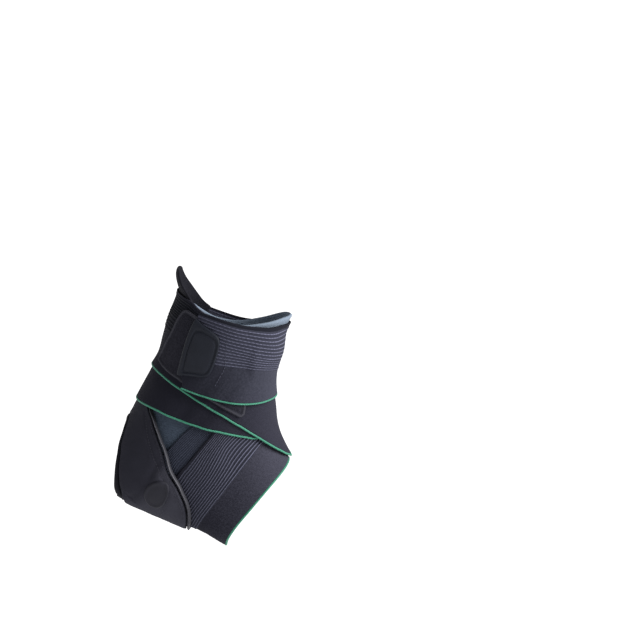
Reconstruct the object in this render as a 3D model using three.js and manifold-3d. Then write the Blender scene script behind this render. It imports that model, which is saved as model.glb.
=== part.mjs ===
// Ankle brace as worn on a right ankle. Millimetres. +Z runs up the leg, +X towards the toes and -Y to
// the outer side of the ankle. The origin is the centre of the ankle, where the limb holds the brace.
import * as THREE from "three";
import Module from "manifold-3d";

// Sizes of the hollow
const LEG_DEPTH = 77;
const LEG_WIDTH = 73;
const LEG_RUN = 38;
const PIVOT_X = 85;
const PIVOT_Z = 60;
const TURN_RADIUS = 95;
const RUN = LEG_RUN + (TURN_RADIUS * Math.PI) / 2;
const HEEL_SOLE = 65.2;
const FRONT_SOLE = 70;
const SOLE_FACE = 73.2;
const SOLE_LEVEL = 0.985;
const SOLE_SLOPE = { from: 20, to: 58 };

// Sizes of the cloth
const SLEEVE_WALL = 2;
const BAND_WALL = 1.3;
const PANEL_WALL = 2.2;
const COLLAR_WALL = 1.6;
const PATCH_WALL = 1;
const LAYER_GAP = 0.6;
const EDGE_MARGIN = 9;
const EDGE_FALL = 24;
const INNER_DROP = 0.045;
const COLLAR_FLARE = 9;
const PIPING_RADIUS = 0.75;
const PIPING_GAP = 0.4;

// Sizes of the closure tab and the moulded heel discs
const TAB_WALL = 2.4;
const TAB_RECESS = 0.9;
const TAB_RIM_SHARE = 0.86;
const DISC_RADIUS = 8.2;
const DISC_WALL = 0.9;

// Steps of the faceted surfaces
const TURN_STEPS = 48;
const BAND_CELLS = 6;
const COLLAR_CELLS = 4;
const GUSSET_CELLS = 3;
const PANEL_STEPS = 36;
const PANEL_CELLS = 5;
const PIPING_SIDES = 4;
const FINE_ANGLE = 0.4;
const FULL_TURN = 360;
const HALF_TURN = 180;

function table(columns, rows) {
  const sheet = {};
  columns.forEach((name, column) => {
    sheet[name] = rows.map((row) => row[column]);
  });
  return sheet;
}

// Limb sections from the top of the leg to the arch of the foot. Station is a share of RUN, gap a share
// of TURN_RADIUS, depth a share of LEG_DEPTH and width a share of LEG_WIDTH.
const SECTIONS = table(
  ["station", "gap", "depth", "width", "widest", "frontRound", "backRound"],
  [
    [0.0, 0.6, 0.945, 1.0, 0.5, 2.1, 2.2],
    [0.107, 0.63, 0.895, 0.935, 0.5, 2.1, 2.2],
    [0.203, 0.648, 0.848, 0.895, 0.52, 2.1, 2.2],
    [0.336, 0.655, 0.86, 0.88, 0.52, 2.1, 2.2],
    [0.469, 0.642, 1.12, 0.92, 0.52, 2.1, 2.2],
    [0.54, 0.648, 1.375, 0.935, 0.52, 2.15, 2.2],
    [0.602, 0.668, 1.45, 0.935, 0.54, 2.2, 2.5],
    [0.664, 0.69, 1.235, 0.935, 0.58, 2.2, 2.7],
    [0.735, 0.714, 1.04, 0.945, 0.6, 2.2, 2.9],
    [0.868, 0.753, 0.85, 0.985, 0.6, 2.2, 2.9],
    [1.0, 0.821, 0.7, 1.07, 0.6, 2.2, 2.9],
  ],
);

// Smooth curve through the points of one column of a table.
function curve(xs, ys, x) {
  const last = xs.length - 1;
  let i = 0;
  while (i < last - 1 && x > xs[i + 1]) {
    i += 1;
  }
  const slope = (k) => {
    const before = Math.max(k - 1, 0);
    const after = Math.min(k + 1, last);
    return (ys[after] - ys[before]) / (xs[after] - xs[before]);
  };
  const span = xs[i + 1] - xs[i];
  const t = Math.min(Math.max((x - xs[i]) / span, 0), 1);
  const t2 = t * t;
  const t3 = t2 * t;
  return (
    (2 * t3 - 3 * t2 + 1) * ys[i] +
    (t3 - 2 * t2 + t) * span * slope(i) +
    (3 * t2 - 2 * t3) * ys[i + 1] +
    (t3 - t2) * span * slope(i + 1)
  );
}

function section(name, station) {
  return curve(SECTIONS.station, SECTIONS[name], station);
}

const radians = THREE.MathUtils.degToRad;

// Point of the limb at an angle round it (0 front, 90 outer side, 180 back or sole) and a station.
function limb(angle, station) {
  const along = station * RUN;
  const rise = Math.max(0, LEG_RUN - along);
  const turn = Math.max(0, along - LEG_RUN) / TURN_RADIUS;
  const depth = section("depth", station) * LEG_DEPTH;
  const front = depth * section("widest", station);
  const cosine = Math.cos(radians(angle));
  const sine = Math.sin(radians(angle));
  const round = cosine > 0 ? section("frontRound", station) : section("backRound", station);
  const reach = cosine > 0 ? front : depth - front;
  const u = reach * Math.sign(cosine) * Math.abs(cosine) ** (2 / round);
  const half = (section("width", station) * LEG_WIDTH) / 2;
  const v = half * Math.sign(sine) * Math.abs(sine) ** (2 / round);
  const radius = section("gap", station) * TURN_RADIUS + front - u;
  const x = PIVOT_X - radius * Math.cos(turn);
  const z = PIVOT_Z + rise - radius * Math.sin(turn);
  const forward = THREE.MathUtils.smoothstep(x, SOLE_SLOPE.from, SOLE_SLOPE.to);
  const sole = HEEL_SOLE + (FRONT_SOLE - HEEL_SOLE) * forward;
  return new THREE.Vector3(x, -v, Math.max(z, -sole));
}

function outward(angle, station) {
  const step = FINE_ANGLE / FULL_TURN;
  const round = limb(angle + FINE_ANGLE, station).sub(limb(angle - FINE_ANGLE, station));
  const down = limb(angle, station + step).sub(limb(angle, station - step));
  return round.cross(down).normalize();
}

function skin(angle, station, height) {
  return limb(angle, station).addScaledVector(outward(angle, station), height);
}

// Both sides of the ankle share one half of each edge table.
function folded(angle) {
  const turned = ((angle % FULL_TURN) + FULL_TURN) % FULL_TURN;
  return turned > HALF_TURN ? FULL_TURN - turned : turned;
}

// Edge as a station for each angle, lowered by an inner drop half way up the inner side.
function edge(rows, innerDrop = 0) {
  const sheet = table(["angle", "station"], rows);
  return (angle) => {
    const inner = Math.max(0, -Math.sin(radians(angle)));
    return curve(sheet.angle, sheet.station, folded(angle)) + innerDrop * inner * inner;
  };
}

// Upper and lower edges of every layer, as an angle and a share of RUN, from the front to the back
const EDGES = {
  sleeveTop: edge([
    [0, 0.045], [27, 0.056], [54, 0.092], [80, 0.13], [100, 0.147], [118, 0.15], [180, 0.15],
  ], INNER_DROP),
  sleeveFoot: edge([[0, 0.833], [90, 0.825], [180, 0.848]]),
  collarTop: edge([[110, 0.165], [125, 0.148], [135, 0.128], [150, 0.09], [165, 0.05], [180, 0.044]]),
  collarFoot: edge([[110, 0.23], [180, 0.24]]),
  gussetTop: edge([[48, 0.37], [60, 0.4], [75, 0.453], [90.5, 0.515], [101, 0.561], [115, 0.6], [130, 0.61]]),
  gussetFoot: edge([[48, 0.46], [60, 0.49], [75, 0.592], [96.5, 0.675], [115, 0.69], [130, 0.69]]),
  footTop: edge([
    [0, 0.385], [30, 0.406], [55, 0.46], [74.5, 0.55], [96.5, 0.633], [115, 0.65], [140, 0.64], [180, 0.63],
  ]),
  footFoot: edge([[0, 0.844], [15, 0.838], [45, 0.835], [78, 0.831], [103, 0.837], [160, 0.856], [180, 0.859]]),
  panelTop: edge([[138, 0.45], [153, 0.425], [166, 0.412], [180, 0.406]]),
  panelFoot: edge([[138, 0.48], [180, 0.48]]),
  ankleTop: edge([[0, 0.294], [47, 0.283], [90, 0.267], [127, 0.251], [180, 0.246]]),
  ankleFoot: edge([
    [0, 0.66], [25, 0.648], [45.5, 0.616], [60.5, 0.568], [75.5, 0.531], [94, 0.495], [122.5, 0.461],
    [151, 0.443], [180, 0.442],
  ]),
  upperTop: edge(
    [[0, 0.32], [15, 0.305], [50, 0.224], [90, 0.156], [125, 0.144], [146, 0.134], [180, 0.139]],
    INNER_DROP,
  ),
  upperFoot: edge([
    [0, 0.814], [11, 0.807], [22, 0.776], [33.5, 0.712], [46.5, 0.616], [67, 0.507], [91, 0.436],
    [115.5, 0.391], [139.5, 0.364], [180, 0.357],
  ]),
  patchTop: edge([
    [52, 0.33], [60, 0.29], [90, 0.2], [120, 0.17], [136, 0.168], [143, 0.192], [147, 0.24], [153.5, 0.285],
    [158, 0.31],
  ]),
  patchFoot: edge([
    [52, 0.5], [56, 0.52], [62.5, 0.502], [91, 0.429], [115, 0.38], [127, 0.364], [143, 0.352], [158, 0.336],
  ]),
  cuffTop: edge([
    [0, 0.07], [27, 0.076], [49, 0.096], [69, 0.114], [81, 0.124], [92.5, 0.134], [114.5, 0.142], [121, 0.144],
    [126, 0.155],
  ], INNER_DROP),
  cuffFoot: edge([
    [0, 0.462], [21, 0.459], [39.5, 0.456], [55, 0.446], [73, 0.428], [97, 0.402], [114.5, 0.387], [121, 0.38],
    [126, 0.363],
  ]),
};

// Layers from the skin outwards, each from one angle to another. Each rests on what lies below it.
const LAYERS = table(
  ["name", "from", "to", "wall"],
  [
    ["sleeve", 0, 360, SLEEVE_WALL],
    ["collar", 112.5, 247.5, COLLAR_WALL],
    ["gusset", 52.5, 127.5, BAND_WALL],
    ["gusset", 232.5, 307.5, BAND_WALL],
    ["foot", 0, 360, BAND_WALL],
    ["panel", 140, 220, PANEL_WALL],
    ["ankle", 0, 360, BAND_WALL],
    ["upper", 0, 360, BAND_WALL],
    ["patch", 52.5, 157.5, PATCH_WALL],
    ["cuff", -126, 126, BAND_WALL],
  ],
);
const LAYER_COUNT = LAYERS.name.length;
const COLLAR = 1;
const FLARE_START = 0.15;

const topEdge = (layer, angle) => EDGES[LAYERS.name[layer] + "Top"](angle);
const footEdge = (layer, angle) => EDGES[LAYERS.name[layer] + "Foot"](angle);

// Place on a layer that is nearest to an angle and a station.
function nearest(layer, angle, station) {
  const from = LAYERS.from[layer];
  const to = LAYERS.to[layer];
  let turned = from + ((((angle - from) % FULL_TURN) + FULL_TURN) % FULL_TURN);
  if (turned > to) {
    turned = turned - to < from + FULL_TURN - turned ? to : from;
  }
  const inside = Math.min(Math.max(station, topEdge(layer, turned)), footEdge(layer, turned));
  return { angle: turned, station: inside };
}

// Height above the limb of everything below a layer, easing off past each free edge.
function heightBelow(layer, angle, station) {
  const here = limb(angle, station);
  let height = 0;
  for (let below = 0; below < layer; below += 1) {
    const spot = nearest(below, angle, station);
    const beyond = here.distanceTo(limb(spot.angle, spot.station)) - EDGE_MARGIN;
    if (beyond < EDGE_FALL) {
      const top = restingHeight(below, spot.angle, spot.station) + LAYERS.wall[below];
      const ease = 1 - THREE.MathUtils.smoothstep(beyond, 0, EDGE_FALL);
      height += ease * Math.max(0, top - height);
    }
  }
  return height;
}

function restingHeight(layer, angle, station) {
  if (layer === 0) {
    return 0;
  }
  return heightBelow(layer, angle, station) + LAYER_GAP + (layer === COLLAR ? flare(station) : 0);
}

// The free top of the collar leans out, away from the leg.
function flare(station) {
  const share = Math.max(0, (FLARE_START - station) / FLARE_START);
  return COLLAR_FLARE * share * share;
}

// Closed shell between two grids of points, columns round the limb and rows down it.
function shell(inner, outer, joined) {
  const columns = outer.length;
  const rows = outer[0].length;
  const points = [...outer.flat(), ...inner.flat()];
  const faces = [];
  const out = (column, row) => (column % columns) * rows + row;
  const into = (column, row) => columns * rows + out(column, row);
  const quad = (a, b, c, d) => faces.push(a, b, c, a, c, d);
  const spans = joined ? columns : columns - 1;
  for (let i = 0; i < spans; i += 1) {
    for (let j = 0; j < rows - 1; j += 1) {
      quad(out(i, j), out(i + 1, j), out(i + 1, j + 1), out(i, j + 1));
      quad(into(i, j), into(i, j + 1), into(i + 1, j + 1), into(i + 1, j));
    }
    quad(out(i, 0), into(i, 0), into(i + 1, 0), out(i + 1, 0));
    quad(out(i, rows - 1), out(i + 1, rows - 1), into(i + 1, rows - 1), into(i, rows - 1));
  }
  if (!joined) {
    const end = columns - 1;
    for (let j = 0; j < rows - 1; j += 1) {
      quad(out(0, j), out(0, j + 1), into(0, j + 1), into(0, j));
      quad(out(end, j), into(end, j), into(end, j + 1), out(end, j + 1));
    }
  }
  return solid(points, faces);
}

function solid(points, faces) {
  const geometry = new THREE.BufferGeometry();
  geometry.setFromPoints(points);
  geometry.setIndex(faces);
  return geometry;
}

// Angles of the shared steps between two angles, with both ends.
function steps(from, to) {
  const step = FULL_TURN / TURN_STEPS;
  const angles = [from];
  for (let angle = (Math.floor(from / step) + 1) * step; angle < to; angle += step) {
    angles.push(angle);
  }
  return to - from < FULL_TURN ? [...angles, to] : angles;
}

function layerAngles(layer) {
  return steps(LAYERS.from[layer], LAYERS.to[layer]);
}

const isRing = (layer) => LAYERS.to[layer] - LAYERS.from[layer] === FULL_TURN;

const evenRows = (cells) => Array.from({ length: cells + 1 }, (_, row) => row / cells);

function band(layer, rows) {
  const grid = (lift) =>
    layerAngles(layer).map((angle) => {
      const top = topEdge(layer, angle);
      const foot = footEdge(layer, angle);
      return rows.map((row) => {
        const station = top + (foot - top) * row;
        return skin(angle, station, restingHeight(layer, angle, station) + lift);
      });
    });
  return shell(grid(0), grid(LAYERS.wall[layer]), isRing(layer));
}

// Round cord against the lower edge of a band.
function piping(layer) {
  const angles = layerAngles(layer);
  const ring = isRing(layer);
  const middle = LAYERS.wall[layer] / 2;
  const points = angles.map((angle) => {
    const station = footEdge(layer, angle);
    return skin(angle, station, restingHeight(layer, angle, station) + middle);
  });
  const last = angles.length - 1;
  const grid = points.map((point, i) => {
    const after = ring ? points[(i + 1) % points.length] : points[Math.min(i + 1, last)];
    const before = ring ? points[(i + last) % points.length] : points[Math.max(i - 1, 0)];
    const along = after.clone().sub(before).normalize();
    const up = outward(angles[i], footEdge(layer, angles[i]));
    const side = up.clone().cross(along).normalize();
    const centre = point.clone().addScaledVector(side, PIPING_GAP + PIPING_RADIUS);
    return Array.from({ length: PIPING_SIDES }, (_, corner) => {
      const turn = radians((FULL_TURN * (corner + 0.5)) / PIPING_SIDES);
      return centre
        .clone()
        .addScaledVector(up, Math.cos(turn) * PIPING_RADIUS)
        .addScaledVector(side, Math.sin(turn) * PIPING_RADIUS);
    });
  });
  return rope(grid, ring);
}

// Closed rod through a row of rings of points, each ring turning clockwise as seen along the rod.
function rope(grid, joined) {
  const columns = grid.length;
  const sides = grid[0].length;
  const points = grid.flat();
  const faces = [];
  const at = (column, corner) => (column % columns) * sides + (corner % sides);
  const spans = joined ? columns : columns - 1;
  for (let i = 0; i < spans; i += 1) {
    for (let j = 0; j < sides; j += 1) {
      faces.push(at(i, j), at(i + 1, j), at(i + 1, j + 1));
      faces.push(at(i, j), at(i + 1, j + 1), at(i, j + 1));
    }
  }
  if (!joined) {
    for (let j = 1; j < sides - 1; j += 1) {
      faces.push(at(0, 0), at(0, j), at(0, j + 1));
      faces.push(at(columns - 1, 0), at(columns - 1, j + 1), at(columns - 1, j));
    }
  }
  return solid(points, faces);
}

// Heel panel from its edge round the open heel to its outer edge, from the back of the ankle down the
// outer side to the sole.
const PANEL = table(
  ["share", "heelAngle", "heelStation", "outerAngle", "outerStation"],
  [
    [0, 180, 0.51, 180, 0.406],
    [0.08, 170, 0.511, 166, 0.411],
    [0.16, 160, 0.517, 153, 0.425],
    [0.24, 152, 0.528, 142, 0.462],
    [0.32, 146.5, 0.542, 124, 0.5],
    [0.4, 143.5, 0.558, 108, 0.534],
    [0.48, 142.5, 0.574, 98.7, 0.58],
    [0.55, 143, 0.587, 97, 0.614],
    [0.62, 145.5, 0.598, 101.5, 0.657],
    [0.71, 151, 0.61, 113, 0.708],
    [0.8, 159, 0.619, 128, 0.737],
    [0.9, 169, 0.625, 150, 0.756],
    [1, 180, 0.627, 180, 0.761],
  ],
);
const HEEL_BINDING = { from: 0, to: 0.11 };
const PANEL_SPREAD = { from: 0.13, to: 0.955 };
const FRONT_BINDING = { from: 0.975, to: 1.025 };
const HEEL_HOLE = -0.04;
const PANEL_RELIEF = 0.4;

// Place on the panel: a share of the way round the heel and a share of the way out from the open heel.
function panelPlace(turn, out) {
  const half = 1 - Math.abs(1 - 2 * turn);
  const at = (column) => curve(PANEL.share, PANEL[column], half);
  const fold = at("heelAngle") + (at("outerAngle") - at("heelAngle")) * out;
  const station = at("heelStation") + (at("outerStation") - at("heelStation")) * out;
  return { angle: turn > 0.5 ? FULL_TURN - fold : fold, station };
}

const PANEL_LAYER = LAYERS.name.indexOf("panel");

function panelRing(spread, cells, wall) {
  const grid = (lift) =>
    Array.from({ length: PANEL_STEPS }, (_, i) =>
      Array.from({ length: cells + 1 }, (_, row) => {
        const out = spread.from + ((spread.to - spread.from) * row) / cells;
        const place = panelPlace(i / PANEL_STEPS, out);
        const height = restingHeight(PANEL_LAYER, place.angle, place.station) + PANEL_RELIEF;
        const point = skin(place.angle, place.station, height + lift);
        if (lift > 0 && outward(place.angle, place.station).z < -SOLE_LEVEL) {
          point.z = -SOLE_FACE;
        }
        return point;
      }),
    );
  return shell(grid(0), grid(wall), true);
}

// Place a distance away from an angle and a station, in a bearing measured from straight down the limb.
function placeNear(angle, station, distance, bearing) {
  const step = FINE_ANGLE / FULL_TURN;
  const perDegree = limb(angle + FINE_ANGLE, station)
    .sub(limb(angle - FINE_ANGLE, station))
    .divideScalar(2 * FINE_ANGLE);
  const perStation = limb(angle, station + step)
    .sub(limb(angle, station - step))
    .divideScalar(2 * step);
  const down = perStation.clone().normalize();
  const round = perDegree.clone().addScaledVector(down, -perDegree.dot(down)).normalize();
  const degrees = (distance * Math.sin(radians(bearing))) / perDegree.dot(round);
  const fall = distance * Math.cos(radians(bearing)) - degrees * perDegree.dot(down);
  return { angle: angle + degrees, station: station + fall / perStation.length() };
}

// Plate that follows the limb: an outline drawn in towards its centre through rings of share and height.
function plate(outline, centre, base, topRings, bottomRings) {
  const points = [];
  const ringAt = (share, lift) =>
    outline.map((place) => {
      const angle = centre.angle + (place.angle - centre.angle) * share;
      const station = centre.station + (place.station - centre.station) * share;
      return skin(angle, station, base(angle, station) + lift);
    });
  const rings = [...bottomRings, ...topRings].map((ring) => ringAt(ring.share, ring.lift));
  rings.forEach((ring) => points.push(...ring));
  const sides = outline.length;
  const faces = [];
  for (let i = 0; i < rings.length - 1; i += 1) {
    for (let j = 0; j < sides; j += 1) {
      const next = (j + 1) % sides;
      const a = i * sides + j;
      const b = i * sides + next;
      faces.push(a, b, b + sides, a, b + sides, a + sides);
    }
  }
  const cap = (ringIndex, lift, flipped) => {
    const middle = points.length;
    points.push(skin(centre.angle, centre.station, base(centre.angle, centre.station) + lift));
    for (let j = 0; j < sides; j += 1) {
      const a = ringIndex * sides + j;
      const b = ringIndex * sides + ((j + 1) % sides);
      faces.push(...(flipped ? [a, middle, b] : [a, b, middle]));
    }
  };
  cap(0, bottomRings[0].lift, true);
  cap(rings.length - 1, topRings[topRings.length - 1].lift, false);
  return solid(points, faces);
}

// Closure tab: its outline as angles and shares of RUN, running round it against the clock
const TAB_OUTLINE = table(
  ["angle", "station"],
  [
    [123, 0.186], [124, 0.235], [125, 0.285], [125, 0.34], [122.5, 0.361], [115, 0.36], [108.5, 0.358],
    [102, 0.357], [97, 0.353], [94, 0.341], [92.3, 0.31], [91.5, 0.27], [91.5, 0.243], [93, 0.216],
    [96.5, 0.2], [104, 0.19], [112, 0.184], [119, 0.18],
  ],
);
const TAB_CENTRE = { angle: 108, station: 0.275 };

function closureTab() {
  const outline = TAB_OUTLINE.angle.map((angle, i) => ({ angle, station: TAB_OUTLINE.station[i] }));
  const base = (angle, station) => heightBelow(LAYER_COUNT, angle, station) + LAYER_GAP;
  const floor = TAB_WALL - TAB_RECESS;
  const bottom = [0.25, 0.5, 0.75, 1].map((share) => ({ share, lift: 0 }));
  const top = [
    { share: 1, lift: TAB_WALL * 0.7 },
    { share: 0.95, lift: TAB_WALL },
    { share: TAB_RIM_SHARE, lift: TAB_WALL },
    { share: TAB_RIM_SHARE - 0.05, lift: floor },
    { share: 0.5, lift: floor },
    { share: 0.25, lift: floor },
  ];
  return plate(outline, TAB_CENTRE, base, top, bottom);
}

// Moulded disc raised on the heel panel below the ankle bone
const DISC_PLACE = { angle: 118, station: 0.645 };
const DISC_STEPS = 16;

function heelDisc(angle) {
  const centre = { angle, station: DISC_PLACE.station };
  const outline = Array.from({ length: DISC_STEPS }, (_, i) =>
    placeNear(centre.angle, centre.station, DISC_RADIUS, (-FULL_TURN * i) / DISC_STEPS),
  );
  const below = PANEL_WALL + PANEL_RELIEF + LAYER_GAP;
  const base = (a, s) => restingHeight(PANEL_LAYER, a, s) + below;
  const bottom = [0.5, 1].map((share) => ({ share, lift: 0 }));
  const top = [
    { share: 1, lift: DISC_WALL * 0.5 },
    { share: 0.85, lift: DISC_WALL },
    { share: 0.45, lift: DISC_WALL },
  ];
  return plate(outline, centre, base, top, bottom);
}

const wasm = await Module();
wasm.setup();

function toManifold(geometry) {
  const mesh = new wasm.Mesh({
    numProp: 3,
    vertProperties: geometry.attributes.position.array,
    triVerts: new Uint32Array(geometry.index.array),
  });
  return new wasm.Manifold(mesh);
}

function toGeometry(manifold) {
  const mesh = manifold.getMesh();
  const geometry = new THREE.BufferGeometry();
  geometry.setAttribute("position", new THREE.BufferAttribute(mesh.vertProperties, mesh.numProp));
  geometry.setIndex(new THREE.BufferAttribute(mesh.triVerts, 1));
  return geometry;
}

// Sleeve with the opening that leaves the heel bare.
const SLEEVE_ROWS = [0, 0.12, 0.22, 0.3, 0.36, 0.41, 0.46, 0.51, 0.56, 0.61, 0.67, 0.74, 0.82, 0.91, 1];
const HOLE_DEPTH = 9;
const HOLE_STEPS = 32;

function innerSleeve() {
  const outline = Array.from({ length: HOLE_STEPS }, (_, i) => panelPlace(1 - (i + 0.5) / HOLE_STEPS, HEEL_HOLE));
  const centre = { angle: 180, station: 0.568 };
  const base = () => 0;
  const bottom = [0.5, 1].map((share) => ({ share, lift: -HOLE_DEPTH }));
  const top = [1, 0.5].map((share) => ({ share, lift: HOLE_DEPTH }));
  const cutter = toManifold(plate(outline, centre, base, top, bottom));
  return toGeometry(toManifold(band(0, SLEEVE_ROWS)).subtract(cutter));
}

const COLOURS = {
  lining: 0x5b6775,
  collar: 0x2c2d36,
  gusset: 0x4a4d5a,
  elastic: 0x3b3b48,
  panel: 0x33333d,
  binding: 0x7d7d86,
  piping: 0x3f9a7c,
  patch: 0x1e1e23,
  tab: 0x262a33,
};

const group = new THREE.Group();
group.name = "ankle_brace";

function add(name, geometry, colour, roughness) {
  const material = new THREE.MeshStandardMaterial({ color: colour, roughness, metalness: 0 });
  const mesh = new THREE.Mesh(geometry, material);
  mesh.name = name;
  group.add(mesh);
}

const MATT = 0.9;
const SATIN = 0.55;
const layerIndex = (name) => LAYERS.name.indexOf(name);

add("inner_sleeve", innerSleeve(), COLOURS.lining, MATT);
add("rear_collar", band(layerIndex("collar"), evenRows(COLLAR_CELLS)), COLOURS.collar, MATT);
add("gusset_outer", band(layerIndex("gusset"), evenRows(GUSSET_CELLS)), COLOURS.gusset, MATT);
add("gusset_inner", band(layerIndex("gusset") + 1, evenRows(GUSSET_CELLS)), COLOURS.gusset, MATT);
add("foot_wrap", band(layerIndex("foot"), evenRows(BAND_CELLS)), COLOURS.elastic, MATT);
add("foot_piping", piping(layerIndex("foot")), COLOURS.piping, SATIN);
add("heel_panel", panelRing(PANEL_SPREAD, PANEL_CELLS, PANEL_WALL), COLOURS.panel, MATT);
add("heel_binding", panelRing(HEEL_BINDING, 1, PANEL_WALL), COLOURS.collar, MATT);
add("front_binding", panelRing(FRONT_BINDING, 1, PANEL_WALL), COLOURS.binding, MATT);
add("heel_disc_outer", heelDisc(DISC_PLACE.angle), COLOURS.panel, SATIN);
add("heel_disc_inner", heelDisc(FULL_TURN - DISC_PLACE.angle), COLOURS.panel, SATIN);
add("ankle_wrap", band(layerIndex("ankle"), evenRows(BAND_CELLS)), COLOURS.elastic, MATT);
add("ankle_piping", piping(layerIndex("ankle")), COLOURS.piping, SATIN);
add("upper_wrap", band(layerIndex("upper"), evenRows(BAND_CELLS)), COLOURS.elastic, MATT);
add("upper_piping", piping(layerIndex("upper")), COLOURS.piping, SATIN);
add("loop_patch", band(layerIndex("patch"), evenRows(BAND_CELLS)), COLOURS.patch, MATT);
add("cuff_wrap", band(layerIndex("cuff"), evenRows(BAND_CELLS)), COLOURS.elastic, MATT);
add("cuff_piping", piping(layerIndex("cuff")), COLOURS.piping, SATIN);
add("closure_tab", closureTab(), COLOURS.tab, SATIN);

export default group;
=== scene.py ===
import math

import bpy
import numpy as np
from mathutils import Matrix, Vector


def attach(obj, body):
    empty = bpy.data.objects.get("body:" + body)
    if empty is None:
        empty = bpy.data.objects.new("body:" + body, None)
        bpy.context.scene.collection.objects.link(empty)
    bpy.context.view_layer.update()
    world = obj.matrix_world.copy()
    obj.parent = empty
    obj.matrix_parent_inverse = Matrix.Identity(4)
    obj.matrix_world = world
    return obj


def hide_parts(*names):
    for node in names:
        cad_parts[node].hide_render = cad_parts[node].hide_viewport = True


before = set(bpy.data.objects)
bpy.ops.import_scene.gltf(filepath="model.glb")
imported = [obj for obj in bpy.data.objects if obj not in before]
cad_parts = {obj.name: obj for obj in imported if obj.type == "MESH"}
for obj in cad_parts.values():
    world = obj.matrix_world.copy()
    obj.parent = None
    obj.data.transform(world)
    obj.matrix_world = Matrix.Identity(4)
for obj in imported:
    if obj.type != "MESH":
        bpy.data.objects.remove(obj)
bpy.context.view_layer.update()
bpy.ops.object.select_all(action="DESELECT")

# Camera. The brace is seen from its outer side and a little above, with its toe end tipped
# down, so the camera rolls by that pitch. Its lens gives the frame's size in metres per pixel.
toe_pitch = math.radians(23)
camera_rise = math.radians(9)
camera_distance = 2.2
metres_per_pixel = 0.00069
frame_pixels = (636, 626)
origin_pixel = (204, 416)
view_reach = 400


def from_level(x, y, z):
    """Turns a direction of the level room into the frame of the tipped brace."""
    forward = x * math.cos(toe_pitch) - z * math.sin(toe_pitch)
    upward = x * math.sin(toe_pitch) + z * math.cos(toe_pitch)
    return Vector((forward, y, upward))


def facing(place, target, upright):
    """Matrix of a camera or lamp at a place, looking at a target, with one direction upright."""
    back = (place - target).normalized()
    right = upright.cross(back).normalized()
    turned = Matrix((right, back.cross(right), back)).transposed().to_4x4()
    return Matrix.Translation(place) @ turned


room_up = from_level(0, math.sin(camera_rise), math.cos(camera_rise))
room_right = from_level(1, 0, 0)
camera_place = from_level(0, -math.cos(camera_rise), math.sin(camera_rise)) * camera_distance
frame_centre = room_right * (frame_pixels[0] / 2 - origin_pixel[0]) * metres_per_pixel
frame_centre += room_up * (origin_pixel[1] - frame_pixels[1] / 2) * metres_per_pixel

bpy.ops.object.camera_add()
camera = bpy.context.object
camera.name = "camera"
camera.matrix_world = facing(camera_place + frame_centre, frame_centre, room_up)
camera.data.lens = camera.data.sensor_width * camera_distance / (frame_pixels[0] * metres_per_pixel)
camera.data.clip_end = view_reach
bpy.context.scene.camera = camera

# Studio. A wide sheet of white paper under the brace, lit from below as a light table is, in a
# bright room with one broad soft lamp high on the toe side.
paper_height = -0.125
paper_glow = 1.08
room_glow = 0.23
lamp_way = (1, -0.22, 0.45)
lamp_strength = 6
lamp_breadth = math.radians(50)

bpy.ops.mesh.primitive_plane_add(size=view_reach, location=(0, 0, paper_height))
paper = bpy.context.object
paper.name = "studio_paper"
bpy.ops.object.transform_apply(location=True)
paper_finish = bpy.data.materials.new("white_paper")
paper_finish.use_nodes = True
paper_shader = paper_finish.node_tree.nodes["Principled BSDF"]
paper_shader.inputs["Base Color"].default_value = (0.1, 0.1, 0.1, 1)
paper_shader.inputs["Roughness"].default_value = 1
paper_shader.inputs["Specular IOR Level"].default_value = 0
paper_shader.inputs["Emission Color"].default_value = (1, 1, 1, 1)
paper_shader.inputs["Emission Strength"].default_value = paper_glow
paper.data.materials.append(paper_finish)

room = bpy.data.worlds.new("bright_room")
room.use_nodes = True
room.node_tree.nodes["Background"].inputs["Color"].default_value = (0.95, 0.97, 1, 1)
room.node_tree.nodes["Background"].inputs["Strength"].default_value = room_glow
bpy.context.scene.world = room
bpy.context.scene.view_settings.view_transform = "Standard"

bpy.ops.object.light_add(type="SUN")
key_lamp = bpy.context.object
key_lamp.name = "toe_side_lamp"
key_lamp.matrix_world = facing(from_level(*lamp_way), Vector((0, 0, 0)), Vector((0, 0, 1)))
key_lamp.data.energy = lamp_strength
key_lamp.data.angle = lamp_breadth
key_lamp.data.color = (1, 0.99, 0.98)

# Inner sleeve. A soft bootee knitted in one piece, open at the top, the toes and the heel. Every
# other layer is sewn over it, so its section also gives the hollow that they all follow.
hollow_depth = 77
hollow_width = 73
upper_run = 38
pivot = (85, 60)
turn_radius = 95
run = upper_run + turn_radius * math.pi / 2
heel_sole = 65.2
front_sole = 70
sole_slope = (20, 58)
sleeve_wall = 2
layer_gap = 0.6
bedding = 0.35
edge_margin = 9
edge_fall = 24
mm_per_degree = 0.65
inner_drop = 0.045
mm = 0.001


def columns(names, rows):
    """A table as one array for each of its named columns."""
    return {name: np.array([row[i] for row in rows], float) for i, name in enumerate(names)}


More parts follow.
